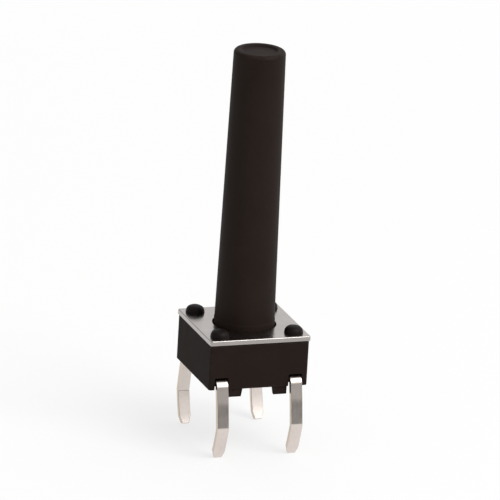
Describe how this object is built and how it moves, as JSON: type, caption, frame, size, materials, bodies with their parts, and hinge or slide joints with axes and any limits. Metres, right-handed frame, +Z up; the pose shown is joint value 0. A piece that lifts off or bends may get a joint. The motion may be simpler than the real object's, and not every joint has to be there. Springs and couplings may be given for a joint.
{
  "type": "tactile push button switch",
  "caption": "Square through-hole tactile switch with a tall round tapered button, a staked steel cover plate, kinked legs and a snap dome.",
  "frame": {"origin": "middle of the footprint, in the plane of the feet, which is the top face of the board", "axes": "+Z up along the button; X along the pitch of each leg row; the legs leave the housing's faces at -Y and +Y"},
  "size_m": [0.006, 0.0074, 0.0236],
  "materials": {
    "housing": "matte black moulded plastic",
    "button": "satin black moulded plastic",
    "plate": "satin",
    "dome": "bright sprung strip",
    "terminals": "bright silver-plated brass"
  },
  "bodies": {
    "housing": {"base": "housing", "cover_plate": "plate", "snap_dome": "dome", "rim_terminal": "terminals", "centre_terminal": "terminals"},
    "button": {"button": "button"}
  },
  "joints": [
    {"name": "press", "type": "slide", "parent": "housing", "child": "button", "axis": [0, 0, -1], "range_m": [0, 0.00025], "stiffness_N_per_m": 6400, "deforming": ["snap_dome"]}
  ]
}
